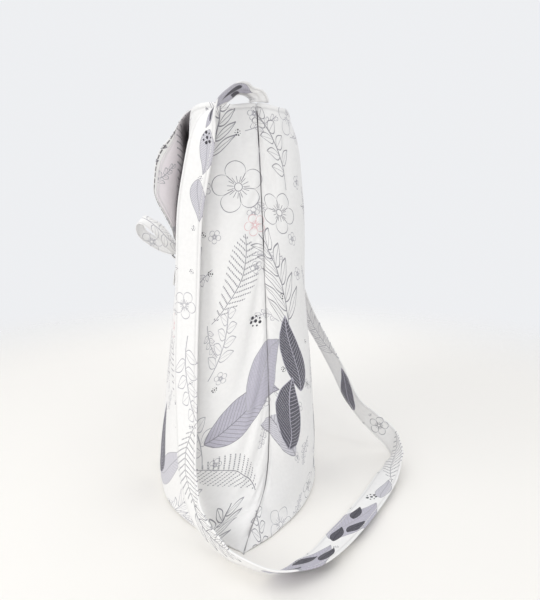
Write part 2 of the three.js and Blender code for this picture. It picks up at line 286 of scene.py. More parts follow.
# outer cloth: front and back panel
panelSetup = {
    "columns": 84,
    "rows": 104,
    "crowdSeams": 0.72,  # how much closer the columns stand beside the seams
    "crowdEnds": 0.4,  # the same for the rows at the base and the mouth
    "seamDip": 1.1,
    "seamGap": 0.1,  # keeps the two panels apart at their seams
    "seamWidth": 2.6,
    "cornerFold": 2.6,  # depth of the crease over each bottom corner
    "rolls": 1.5,  # upright slack rolls in the middle of each panel
    "rimSag": 1.6,
    "heldBelow": 2.0,  # cloth this near the floor stays put
    "bending": 0.6,
    "spare": 0.012,
    "gravity": 0.6,
    "frames": 14,
    "most": 5.0,
    "deepest": 0.9,
}


def crowdedShares(count, crowd):
    s = np.linspace(0, 1, count + 1)
    return s - crowd * np.sin(2 * np.pi * s) / (2 * np.pi)


def hump(value, middle, width):
    return np.exp(-((value - middle) / width) ** 2)


def rise(value, start, width):
    return np.clip((value - start) / width, 0, 1)


def fall(value, end, width):
    return np.clip((end - value) / width, 0, 1)


# soft dents and rolls in the standing cloth, millimetres along the outward normal
def clothRelief(side, across, up):
    a, u = np.meshgrid(across, up)
    seed = 0.0 if side == "front" else 2.1
    d = np.minimum(a, 1 - a)
    # wide dents, then finer ones
    dents = 1.3 * np.sin(9.0 * u + 3.2 * a + seed) * np.sin(6.5 * a + 1.7 * seed + 1.1 * u)
    dents += 0.7 * np.sin(21.0 * u - 8.0 * a + 2.0 * seed) * np.sin(11.0 * a + 4.0 * u + seed)
    # ripples beside the seams
    dents += 1.2 * hump(d, 0.10, 0.035) * np.sin(26.0 * u + seed + 9.0 * a)
    # wrinkles above the base corners
    dents += 2.4 * hump(u, 0.27, 0.07) * hump(d, 0, 0.22) * np.sin(38.0 * d + 16.0 * u + seed)
    # hollows beside the seams, under the mouth and at half height
    dents -= 1.8 * hump(d, 0.055, 0.025) * hump(u, 0.86, 0.10)
    dents -= 1.3 * hump(d, 0.06, 0.03) * hump(u, 0.52, 0.07)
    # upright rolls in the middle
    rolls = 1 + np.sin(27.0 * a + 1.6 * np.sin(5.0 * u + seed) + seed)
    dents += panelSetup["rolls"] * rolls * hump(u, 0.44, 0.17) * rise(d, 0.15, 0.12)
    # the base and the mouth stay as they are
    hold = rise(u, 0.17, 0.06) * fall(u, 1.0, 0.05)
    pucker = 0.5 * hump(d, 0, 0.03) * np.sin(150.0 * u) * rise(u, 0.2, 0.1)
    relief = dents * hold * rise(d, 0, 0.02) + pucker * rise(d, 0, 0.006)
    # crease over the bottom corner, with a swelling on both sides
    crease = 0.118 - 0.12 * d
    fading = fall(d, 0.12, 0.05)
    fold = 0.6 * hump(u, crease - 0.045, 0.028) + 0.35 * hump(u, crease + 0.03, 0.02)
    fold -= hump(u, crease, 0.011)
    return relief + panelSetup["cornerFold"] * fold * fading * rise(d, 0, 0.012)


# the mouth edge hangs a little between the seams
def rimDrop(across, up):
    a, u = np.meshgrid(across, up)
    d = np.minimum(a, 1 - a)
    return panelSetup["rimSag"] * hump(d, 0.055, 0.03) * rise(u, 0.85, 0.15)


def gridNormals(grid):
    du = np.gradient(grid, axis=1)
    dv = np.gradient(grid, axis=0)
    n = np.cross(dv, du)
    return n / np.maximum(np.linalg.norm(n, axis=2, keepdims=True), 1e-9)


# moves the side and bottom edges off the seam line
def partSeams(grid, side, gap):
    move = -gap if side == "front" else gap
    grid[:, [0, -1], 1] += move
    grid[0, 1:-1, 1] += move


def bagPanel(name, side):
    across = crowdedShares(panelSetup["columns"], panelSetup["crowdSeams"])
    up = crowdedShares(panelSetup["rows"], panelSetup["crowdEnds"])
    grid = panelPlaces(levels, side, across, up)
    normals = gridNormals(grid)
    flatX = np.tile(across * bagForm["panelWidth"], (len(up), 1))
    flatY = np.tile((up * bagForm["panelHeight"])[:, None], (1, len(across)))
    fromSeam = np.minimum(flatX, bagForm["panelWidth"] - flatX) / mm
    dip = panelSetup["seamDip"] * hump(fromSeam, 0, panelSetup["seamWidth"])
    dip *= rise(up, 0.12, 0.06)[:, None]
    grid = grid + normals * (clothRelief(side, across, up) - dip)[:, :, None]
    grid[:, :, 2] -= rimDrop(across, up)
    partSeams(grid, side, panelSetup["seamGap"])
    grid[:, :, 2] = np.maximum(grid[:, :, 2], 0.0)
    piece = layCloth(name, grid, flatX, flatY, bagForm["panelHeight"] - flatY, flatX, facing=-1)
    held = grid[:, :, 2] < panelSetup["heldBelow"]
    held[-2:] = True
    held[:, [0, -1]] = True
    settleCloth(piece, held.reshape(-1), gridNormals(grid).reshape(-1, 3), panelSetup)
    thicken(piece, bagForm["clothThickness"], -1)
    return piece


frontPanel = bagPanel("frontPanel", "front")
backPanel = bagPanel("backPanel", "back")
print("panels made")


# lining, seen at the mouth
liningSetup = {"columns": 56, "rows": 64, "slack": 2.0, "seamGap": 0.12}


def bagLining(name, side):
    across = np.linspace(0, 1, liningSetup["columns"] + 1)
    up = np.linspace(0, 1, liningSetup["rows"] + 1)
    grid = panelPlaces(liningLevels(), side, across, up)
    a, u = np.meshgrid(across, up)
    waves = 0.9 * np.abs(np.sin(14 * a + 5 * u) * np.sin(12 * u + 3 * a)) + liningSetup["slack"]
    waves *= fall(u, 1, 0.06) * rise(u, 0.2, 0.1)
    waves *= rise(np.minimum(a, 1 - a), 0, 0.03)
    grid = grid - gridNormals(grid) * waves[:, :, None]
    grid[:, :, 2] -= rimDrop(across, up)
    partSeams(grid, side, liningSetup["seamGap"])
    flatX, flatY = a * bagForm["panelWidth"], u * bagForm["panelHeight"]
    piece = layCloth(name, grid, flatX, flatY, bagForm["panelHeight"] - flatY, flatX, facing=-1)
    thicken(piece, bagForm["liningThickness"], -1)
    return piece


liningFront = bagLining("liningFront", "front")
liningBack = bagLining("liningBack", "back")
print("lining made")


# flap: from the back of the mouth over the front edge, rounded at its end
flapSetup = {
    "halfWidth": 104.0,
    "centreDrop": 124.0,
    "edgeDrop": 62.0,
    "flare": 30.0,
    "flarePower": 5.5,
    "standOff": 3.0,
    "arch": 2.8,
    "lipOut": 7.0,  # how far it stands off the mouth edge where it turns down
    "lipDrop": 4.5,
    "thickness": 1.0,
    "hem": 3.2,  # the outer cloth turned in round the lining
    "columns": 60,
    "rows": 76,
}


def flapCurve(angle):
    s = flapSetup
    sideways, rounding = math.sin(angle), math.cos(angle)
    along = sideways * s["halfWidth"]
    drop = s["edgeDrop"] + (s["centreDrop"] - s["edgeDrop"]) * rounding
    flare = s["flare"] * abs(sideways) ** s["flarePower"]
    seat = mouthHeight + bagForm["gap"]
    front, back = levelDepth(mouth, along, "front"), levelDepth(mouth, along, "back")

    def hang(share, stand):
        height = mouthHeight - share * drop
        return (along, -frontDepth(along, height) - s["standOff"] - stand * flare, height)

    return curveThrough([
        (along, back, seat), (along, 0.6 * back, seat + 0.6 * s["arch"]), (along, 0, seat + s["arch"]),
        (along, 2 - front, seat + s["arch"]),
        (along, -front - s["lipOut"], mouthHeight - s["lipDrop"]),
        hang(0.3, 0.42), hang(0.55, 0.79), hang(1, 0.86),
    ])


# inset is how far the sheet stops short of the flap's edge
def flapSheet(inset):
    sideways = np.sin(np.linspace(-math.pi / 2, math.pi / 2, flapSetup["columns"] + 1))
    sideways *= 1 - inset / flapSetup["halfWidth"]
    up = np.linspace(0, 1, flapSetup["rows"] + 1)
    curves = [flapCurve(math.asin(share)) for share in sideways]
    lengths = np.array([lengthsAlong(curve)[-1] for curve in curves])
    grid = np.stack([evenly(curve, up * (1 - inset / run)) for curve, run in zip(curves, lengths)], axis=1)
    a, u = np.meshgrid(sideways, up)
    ripple = 1.5 * np.sin(7.0 * a + 0.6) * rise(u, 0.55, 0.3) * (1 - np.abs(a) ** 6)
    ripple += 0.5 * np.sin(17.0 * a + 3.0 * u) * rise(u, 0.5, 0.3)
    return grid, np.abs(ripple), a, u, lengths


def flapLayer(name, inset, lift, hem, thickness):
    grid, ripple, a, u, lengths = flapSheet(inset)
    flatX = a * flapSetup["halfWidth"] * mm
    flatY = -u * lengths[None, :] * mm
    sideGap = (1 - np.abs(a)) * flapSetup["halfWidth"] * mm
    endGap = (1 - u) * lengths[None, :] * mm
    edgeGap = np.minimum(sideGap, endGap)
    edgeRun = np.where(sideGap < endGap, -flatY, flatX)
    turnedIn = hem * hump(edgeGap / mm, 0, flapSetup["hem"]) * rise(u, 0.3, 0.1)
    grid = grid + gridNormals(grid) * (ripple + lift - turnedIn)[:, :, None]
    piece = layCloth(name, grid, flatX, flatY, edgeGap, edgeRun, facing=-1)
    thicken(piece, thickness, 1)
    return piece, float(np.mean(lengths)) * mm


def makeFlap():
    under = bagForm["liningThickness"]
    outer = flapLayer("flapCloth", 0.0, under + bagForm["gap"], under, flapSetup["thickness"])[0]
    inner, length = flapLayer("flapLining", flapSetup["hem"], 0.0, 0.0, under)
    return outer, inner, length


flapCloth, flapLining, flapLength = makeFlap()
print("flap made")


gatherSetup = {"depth": 1.2, "folds": 3}


# flat band along a route of stops: place, direction of its width, share of its width left by gathers
def layBand(name, stops, width, thickness, steps, lanes, crown=0.0, wave=None):
    places, aims, gathers = (np.array(column, dtype=float) for column in zip(*stops))
    perSpan = 40
    path = curveThrough(places, perSpan)
    run = lengthsAlong(path)
    travel = np.linspace(0, run[-1], steps + 1)
    centre = evenly(path, travel / run[-1])
    spot = np.interp(travel, run, np.arange(len(path))) / perSpan
    first = np.minimum(spot.astype(int), len(stops) - 2)
    blend = spot - first
    blend = blend * blend * (3 - 2 * blend)
    across = aims[first] * (1 - blend)[:, None] + aims[first + 1] * blend[:, None]
    gather = gathers[first] * (1 - blend) + gathers[first + 1] * blend
    along = np.gradient(centre, axis=0)
    along /= np.linalg.norm(along, axis=1, keepdims=True)
    across -= along * np.sum(across * along, axis=1, keepdims=True)
    across /= np.linalg.norm(across, axis=1, keepdims=True)
    face = np.cross(along, across)
    lane = np.linspace(-0.5, 0.5, lanes + 1)
    grid = centre[:, None] + across[:, None] * (lane[None, :, None] * width * gather[:, None, None])
    folds = np.cos(lane * gatherSetup["folds"] * 2 * np.pi)
    lift = crown * (1 - (2 * lane) ** 2)[None, :] * np.ones((steps + 1, 1))
    lift = lift + (1 - gather)[:, None] * gatherSetup["depth"] * folds[None, :]
    if wave is not None:
        lift = lift + wave(travel[:, None], lane[None, :])
    grid = grid + face[:, None] * lift[:, :, None]
    flatX = np.tile((lane + 0.5) * width * mm, (steps + 1, 1))
    flatY = np.tile(travel[:, None] * mm, (1, lanes + 1))
    edgeGap = np.minimum(flatX, width * mm - flatX)
    piece = layCloth(name, grid, flatX, flatY, edgeGap, flatY)
    thicken(piece, thickness, 0)
    return piece, run[-1] * mm


# shoulder strap: near seam, fold, near front corner, over the table, far seam
strapSetup = {
    "width": 28.0,
    "thickness": 1.8,
    "steps": 420,
    "lanes": 14,
    "crown": 0.4,
    "sewnLift": 0.6,  # over the mouth edge, at the seam
    "tableGap": 2.4,
}


def strapStops():
    tall, long, deep = bagForm["height"], bagForm["halfLength"], bagForm["halfDepth"]
    half = strapSetup["width"] / 2

    def stop(x, y, z, aim, gather=1.0):
        return ((x * long, y * deep, z * tall), aim, gather)

    upper = [
        ((0.987 * long, mouthSeam + 0.14 * half, tall + strapSetup["sewnLift"]), (-0.12, 0.99, 0), 0.65),
        stop(0.987, 0.198, 1.0105, (0.1, 0.99, 0), 0.58),
        stop(0.999, 0.14, 1.0185, (0.4, 0.92, 0), 0.5),
        stop(1.01, 0.09, 1.022, (0.75, 0.5, 0.1), 0.6),
        stop(1.06, 0.01, 1.017, (0.93, 0.15, 0.22), 0.75),
        stop(1.115, -0.083, 1.0, (0.92, 0.2, 0.29), 0.9),
        stop(1.105, -0.185, 0.98, (0.82, 0.45, 0.36)),
        stop(1.085, -0.283, 0.946, (0.66, 0.68, 0.32)),
        stop(1.065, -0.345, 0.895, (0.58, 0.8, 0.15)),
        stop(1.04, -0.4, 0.84, (0.58, 0.81, 0.05)),
        stop(1, -0.455, 0.775, (0.58, 0.81, 0)),
    ]
    hanging = [
        stop(0.96, -0.49, 0.68, (0.6, 0.8, 0)),
        stop(0.947, -0.522, 0.56, (0.6, 0.8, 0)),
        stop(0.947, -0.556, 0.4, (0.6, 0.8, 0)),
        stop(0.974, -0.567, 0.27, (0.64, 0.76, 0.11)),
        stop(1.04, -0.555, 0.16, (0.66, 0.59, 0.41)),
        stop(1.13, -0.465, 0.08, (0.5, 0.32, 0.78)),
    ]
    onTable = [
        (1.255, -0.26, (0.4, 0, 0.9)),
        (1.4, -0.03, (0.62, -0.08, 0.77)),
        (1.48, 0.289, (0.76, 0.12, 0.64)),
        (1.38, 0.66, (0.8, 0.48, 0.36)),
        (1.15, 1.065, (0.7, 0.69, 0.18)),
        (0.926, 1.4, (0.67, 0.72, 0.16)),
        (0.63, 1.8, (0.64, 0.74, 0.2)),
        (0.42, 2.05, (0.48, 0.6, 0.64)),
        (0.263, 2.165, (0.1, 0.25, 0.96)),
    ]
    lying = [stop(x, y, (half * aim[2] + strapSetup["tableGap"]) / tall, aim) for x, y, aim in onTable]
    rising = [
        stop(0.118, 2.156, 0.05, (0.1, 0.3, 0.95)),
        stop(0.02, 1.956, 0.09, (0.5, 0.45, 0.73)),
        stop(-0.059, 1.711, 0.15, (0.8, 0.35, 0.47)),
        stop(-0.23, 1.533, 0.24, (0.75, 0.35, 0.5)),
        stop(-0.408, 1.356, 0.325, (0.6, 0.25, 0.75)),
        stop(-0.579, 1.178, 0.41, (0.55, 0.3, 0.78)),
        stop(-0.763, 0.978, 0.54, (0.6, 0.5, 0.6)),
        stop(-0.895, 0.756, 0.68, (0.62, 0.7, 0.3)),
    ]
    farEnd = [((-p[0], -p[1], p[2]), (w[0], w[1], -w[2]), g) for p, w, g in upper]
    return upper + hanging + lying + rising + farEnd[::-1]


# slow waves and two pressed creases along the strap
def strapWave(run, lane):
    sway = 0.5 * np.sin(run / 31.0) * np.sin(run / 53.0 + 1.0) + 0.35 * np.sin(run / 17.0) * lane
    creases = 0.45 * hump(lane - 0.03 * np.sin(run / 70.0), 0.18, 0.05)
    creases = creases + 0.4 * hump(lane + 0.03 * np.sin(run / 55.0), -0.2, 0.05)
    return sway - creases


strap, strapLength = layBand("shoulderStrap", strapStops(), strapSetup["width"], strapSetup["thickness"],
                             strapSetup["steps"], strapSetup["lanes"], strapSetup["crown"], strapWave)
print("strap made, length m", round(strapLength, 3))


# bow: knot, two loops and two tails
bowSetup = {
    "tieWidth": 15.0,
    "tieThickness": 0.9,
    "tieGather": 0.7,
    "knotHalfHeight": 10.5,
    "knotHalfDepth": 5.0,
    "knotWidth": 12.0,
    "knotBand": 2.4,
    "loopLength": 46.0,
    "tailLength": 30.0,
    "loopSteps": 90,
    "tailSteps": 40,
    "lanes": 8,
}
knotHeight = mouthHeight - flapSetup["centreDrop"] - bowSetup["knotHalfHeight"] * 0.7
tieLayer = bowSetup["tieThickness"] + bagForm["gap"]
knotY = -frontDepth(0, knotHeight) - 2 * tieLayer - bagForm["gap"] - bowSetup["knotHalfDepth"]


def bowLoop(name, sense, rise, forward):
    b = bowSetup
    hole = b["knotHalfHeight"] - b["knotBand"]
    depth = hole * b["knotHalfDepth"] / b["knotHalfHeight"]
    tight = math.sqrt(1 - (b["tieGather"] * b["tieWidth"] * 0.5 / hole) ** 2)
    layer = depth * tight - 0.6 - b["tieThickness"] * 0.5

    def held(sideways, stand):
        return ((sense * sideways * b["knotWidth"], knotY + stand, knotHeight), (0, 0.05, 1), b["tieGather"])

    def reach(share, sideways, spread, twist, gather=1.0):
        place = (sense * (sideways + 0.7 * spread) * b["loopLength"],
                 knotY + (0.7 * rise * spread - forward * share) * b["loopLength"],
                 knotHeight + (0.7 * forward * spread + rise * share) * b["loopLength"])
        turned = 1 - 0.3 * twist
        return (place, (-sense * twist, rise * turned, forward * turned), gather)

    stops = [
        held(0.1, -layer), held(0.3, -layer), held(0.6, -layer),
        reach(0.22, 0.24, -0.08, 0.3, 0.85), reach(0.55, 0.3, -0.1, 0.65), reach(0.87, 0.32, -0.04, 0.75),
        reach(1.03, 0.32, 0.2, 0.75), reach(1, 0.32, 0.42, 0.75), reach(0.62, 0.31, 0.4, 0.65),
        reach(0.22, 0.28, 0.14, 0.3, 0.85), held(0.6, layer), held(0.3, layer), held(0.1, layer),
    ]
    return layBand(name, stops, b["tieWidth"], b["tieThickness"], b["loopSteps"], b["lanes"], 0.3)


def bowTail(name, sense, layer, topHeight, sideways, forward):
    b = bowSetup
    low = knotHeight - b["knotHalfHeight"]
    middle, end = low - b["tailLength"] * 0.5, low - b["tailLength"]

    def behind(height):
        return -frontDepth(0, height) - bagForm["gap"] - b["tieThickness"] * 0.5 - layer * tieLayer

    stops = [
        ((0, behind(topHeight), topHeight), (1, 0, 0), 1.0),
        ((0, behind(knotHeight), knotHeight), (1, 0, 0), 0.8),
        ((sense * 1.5, behind(low), low), (1, 0, 0.1 * sense), 0.8),
        ((sense * sideways * 0.5, behind(middle) - forward, middle), (1, 0, 0.2 * sense), 1.0),
        ((sense * sideways, behind(end) - forward, end), (1, 0, 0.25 * sense), 1.0),
    ]
    return layBand(name, stops, b["tieWidth"], b["tieThickness"], b["tailSteps"], b["lanes"], 0.2)


def bowKnot():
    b = bowSetup
    bm = bmesh.new()
    bmesh.ops.create_circle(bm, segments=20, radius=0.5)
    mean = (b["knotHalfHeight"] - b["knotBand"] * 0.5) * mm
    bmesh.ops.scale(bm, vec=(b["knotWidth"] * mm, b["knotBand"] * mm, 1), verts=bm.verts)
    bmesh.ops.translate(bm, vec=(0, mean, 0), verts=bm.verts)
    bmesh.ops.spin(bm, geom=bm.verts[:] + bm.edges[:], cent=(0, 0, 0), axis=(1, 0, 0), dvec=(0, 0, 0),
                   angle=math.tau, steps=64, use_merge=True, use_duplicate=False)
    bmesh.ops.remove_doubles(bm, verts=bm.verts, dist=1e-6)
    clothMap = bm.loops.layers.uv.new("cloth")
    stitchMap = bm.loops.layers.uv.new("stitch")
    for vert in bm.verts:
        x, y, z = vert.co
        turn, radius = math.atan2(z, y), math.hypot(y, z)
        crease = 0.35 * mm * math.sin(x / mm * 1.9 + 2.0 * math.sin(turn))
        crease += 0.3 * mm * math.sin(3 * turn + x / mm)
        pinch = 1 - 0.12 * (1 - abs(math.sin(turn)))
        radius += crease if radius > mean else 0.0
        vert.co = (x * pinch, math.cos(turn) * radius, math.sin(turn) * radius)
    bmesh.ops.scale(bm, vec=(1, b["knotHalfDepth"] / b["knotHalfHeight"], 1), verts=bm.verts)
    bmesh.ops.translate(bm, vec=(0, knotY * mm, knotHeight * mm), verts=bm.verts)
    bmesh.ops.recalc_face_normals(bm, faces=bm.faces)
    for face in bm.faces:
        face.smooth = True
        for loop in face.loops:
            loop[clothMap].uv = (loop.vert.co.x, loop.vert.co.z)
            loop[stitchMap].uv = (0.05, 0.0)  # too far in for stitches
    piece = pieceFrom(bm, "bowKnot")
    soften(piece)
    return piece


knot = bowKnot()
loopNear, loopNearLength = bowLoop("bowLoopNear", 1, 0.53, 0.85)
loopFar, loopFarLength = bowLoop("bowLoopFar", -1, 0.45, 0.88)
flapTie, flapTieLength = bowTail("flapTie", 1, 1, mouthHeight - flapSetup["centreDrop"] + 4, 9, 3)
bodyTie, bodyTieLength = bowTail("bodyTie", -1, 0, knotHeight + 6, 12, 0.5)
print("bow made")


# a value in a node tree that is reckoned with like a plain number
class Value:
    def __init__(self, tree, socket):
        self.tree = tree
        self.socket = socket

    def maths(self, operation, *others):
        node = addNode(self.tree, "ShaderNodeMath", (self, *others), operation=operation)
        return Value(self.tree, node.outputs[0])

    def __add__(self, other):
        return self.maths("ADD", other)

    def __sub__(self, other):
        return self.maths("SUBTRACT", other)

    def __mul__(self, other):
        return self.maths("MULTIPLY", other)

    def __truediv__(self, other):
        return self.maths("DIVIDE", other)

    def __lt__(self, other):
        return self.maths("LESS_THAN", other)

    def __gt__(self, other):
        return self.maths("GREATER_THAN", other)

    def __abs__(self):
        return self.maths("ABSOLUTE")


# links a socket or a Value, or sets a plain value
def plug(tree, value, socket):
    source = value.socket if isinstance(value, Value) else value
    if isinstance(source, bpy.types.NodeSocket):
        tree.links.new(source, socket)
    else:
        socket.default_value = source


# inputs go to the sockets in order, or by name or number where they are a dictionary
def addNode(tree, kind, inputs=(), **settings):
    node = tree.nodes.new(kind)
    for name, value in settings.items():
        setattr(node, name, value)
    pairs = inputs.items() if isinstance(inputs, dict) else enumerate(inputs)
    for key, value in pairs:
        plug(tree, value, node.inputs[key])
    return node


def ramp(value, start, stop, low=1.0, high=0.0):
    entries = (value, start, stop, low, high)
    node = addNode(value.tree, "ShaderNodeMapRange", entries, interpolation_type="SMOOTHSTEP")
    return Value(value.tree, node.outputs[0])


# drawn line with soft edges
def stroke(distance, width):
    return ramp(distance, width * 0.35, width)


def greatest(first, *others):
    for other in others:
        first = first.maths("MAXIMUM", other)
    return first


def vec(tree, operation, *values):
    return addNode(tree, "ShaderNodeVectorMath", values, operation=operation).outputs[0]


def lengthOf(tree, vector):
    node = addNode(tree, "ShaderNodeVectorMath", (vector,), operation="LENGTH")
    return Value(tree, node.outputs["Value"])


def mixVector(tree, factor, under, over):
    return addNode(tree, "ShaderNodeMix", {0: factor, 4: under, 5: over}, data_type="VECTOR").outputs[1]


def mixColour(tree, factor, under, over, blend="MIX"):
    node = addNode(tree, "ShaderNodeMix", {0: factor, 6: under, 7: over}, data_type="RGBA", blend_type=blend)
    return node.outputs[2]


def coordinates(vector):
    split = addNode(vector.tree, "ShaderNodeSeparateXYZ", (vector,))
    return [Value(vector.tree, socket) for socket in split.outputs]


def valuesOf(node):
    return {socket.name: Value(node.id_data, socket) for socket in node.outputs}


# every group reads a vector; the other inputs are numbers or colours
def newGroup(name, inputs, outputs):
    tree = bpy.data.node_groups.new(name, "ShaderNodeTree")
    tree.interface.new_socket(name="Vector", in_out="INPUT", socket_type="NodeSocketVector")
    for label, value in inputs.items():
        kind = "NodeSocketColor" if isinstance(value, tuple) else "NodeSocketFloat"
        tree.interface.new_socket(name=label, in_out="INPUT", socket_type=kind).default_value = value
    for label in outputs:
        kind = "NodeSocketColor" if label == "Color" else "NodeSocketFloat"
        tree.interface.new_socket(name=label, in_out="OUTPUT", socket_type=kind)
    return tree, valuesOf(tree.nodes.new("NodeGroupInput"))


def closeGroup(tree, **values):
    addNode(tree, "NodeGroupOutput", values)
    return tree


def useGroup(tree, group, **inputs):
    return valuesOf(addNode(tree, "ShaderNodeGroup", inputs, node_tree=group))


def radiusOf(x, y):
    return (x * x + y * y).maths("SQRT")


def leafBulge(share, power):
    return (share.maths("POWER", power) * math.pi).maths("SINE")


# a motif is drawn round the origin at size 1; the third coordinate carries the width of its lines
def motifGroup(name, draw, *details):
    tree, into = newGroup(name, {}, ["Shape", "Ink"])
    shape, ink = draw(*coordinates(into["Vector"]), *details)
    return closeGroup(tree, Shape=shape, Ink=ink)


# open five-petal flower, radius 1
def drawBlossom(x, y, line):
    r = radiusOf(x, y)
    turn = y.maths("ARCTAN2", x)
    lobe = abs((turn * 2.5).maths("COSINE"))
    rim = lobe.maths("POWER", 0.55) * 0.45 + 0.53
    inside = ramp(r - rim, -0.01, 0.01)
    outline = stroke(abs(r - rim), line)
    gapLine = stroke(r * lobe * 0.4, line) * (inside * ramp(r, 0.2, 0.24, 0.0, 1.0))
    heart = stroke(abs(r - 0.15), line)
    rays = stroke(r * abs((turn * 7.5).maths("SINE")) * 0.13, line * 0.7)
    rays = rays * (ramp(r, 0.17, 0.2, 0.0, 1.0) * ramp(r, 0.4, 0.44))
    return inside, greatest(outline, gapLine, heart, rays)


# stem from y = -1 to 1 with slanted leaves on both sides
def drawSpray(x, y, line, gap, slant, leafLength, leafWidth, veins):
    x = x - y * y * 0.16
    reach = abs(x)
    skew = (x > 0.0) * (gap / 2) + (y - reach * (math.cos(slant) / math.sin(slant)))
    off = skew.maths("WRAP", gap / 2, -gap / 2)
    root = skew - off
    v = abs(off * math.sin(slant))
    size = root * (-0.25 * leafLength) + 0.8 * leafLength
    share = reach / math.sin(slant) / size
    half = leafBulge(share.maths("MINIMUM", 1.0), 0.8) * leafWidth
    onLeaf = (share < 1.0) * ((root > -0.8) * (root < 0.98))
    inside = ramp(v - half, -0.008, 0.008) * onLeaf
    outline = stroke(abs(v - half), line) * onLeaf
    rib = stroke(v, line * 0.7) * onLeaf * veins
    stem = stroke(reach, line * 1.2) * (abs(y) < 1.0)
    return greatest(inside, stem), greatest(outline, rib, stem)


# frond of small dots on thin ribs
def drawFrond(x, y, line, gap, slant, bead):
    reach = abs(x - y * y * 0.3)
    skew = y - reach * (math.cos(slant) / math.sin(slant))
    off = skew.maths("WRAP", gap / 2, -gap / 2)
    root = skew - off
    u = reach / math.sin(slant)
    onRib = (u < (root * root - 1.0) * -0.46) * (abs(root) < 0.97)
    spot = radiusOf(off * math.sin(slant), u.maths("WRAP", bead, -bead))
    dots = ramp(spot, 0.5 * bead, 0.875 * bead) * onRib
    stem = stroke(reach, line) * (abs(y) < 1.0)
    return stem, greatest(dots, stem)


# broad single leaf, y from -1 to 1, filled, with close side veins
def drawLeaf(x, y, line):
    v = abs(x - (y * 2.2).maths("SINE") * 0.12)
    share = (y * 0.5 + 0.5).maths("MAXIMUM", 0.0).maths("MINIMUM", 1.0)
    half = leafBulge(share, 0.75) * 0.42
    along = abs(y) < 1.0
    inside = ramp(v - half, -0.008, 0.008) * along
    outline = stroke(abs(v - half), line) * along
    vein = stroke(abs((y - v * 0.9).maths("WRAP", 0.05, -0.05)), line * 0.8) * inside
    rib = stroke(v, line * 1.3) * along
    return inside, greatest(outline, rib, vein)


# seven berries round a middle one; they are filled, so the line width is left
def drawBerries(x, y, line):
    r = radiusOf(x, y)
    turn = y.maths("ARCTAN2", x)
    sector = turn.maths("WRAP", math.pi / 7, -math.pi / 7)
    away = radiusOf(r * sector.maths("COSINE") - 0.68, r * sector.maths("SINE"))
    size = ((turn - sector) * 1.7 + 0.6).maths("SINE") * 0.07 + 0.17
    ink = greatest(ramp(away - size, -0.02, 0.02), ramp(r, 0.2, 0.24))
    return ink, ink


# each motif with half the width and half the length that it needs
motifs = {
    "blossom": (motifGroup("blossomMotif", drawBlossom), 1.05, 1.05),
    "spray": (motifGroup("leafSprayMotif", drawSpray, 0.34, 0.62, 0.74, 0.075, 0.8), 0.85, 1.6),
    "sprig": (motifGroup("roundSprigMotif", drawSpray, 0.4, 0.95, 0.46, 0.115, 0.6), 0.75, 1.4),
    "frond": (motifGroup("dottedFrondMotif", drawFrond, 0.13, 1.0, 0.024), 0.85, 1.3),
    "leaf": (motifGroup("broadLeafMotif", drawLeaf), 0.62, 1.1),
    "berries": (motifGroup("berryMotif", drawBerries), 1.0, 1.0),
}

inkColours = {
    "paper": (0.885, 0.88, 0.872, 1),
    "grey": (0.25, 0.246, 0.275, 1),
    "pale": (0.42, 0.415, 0.45, 1),
    "dark": (0.06, 0.058, 0.07, 1),
    "mauve": (0.50, 0.485, 0.56, 1),
    "paleMauve": (0.64, 0.63, 0.68, 1),
    "charcoal": (0.10, 0.098, 0.12, 1),
    "blush": (0.76, 0.52, 0.53, 1),
}

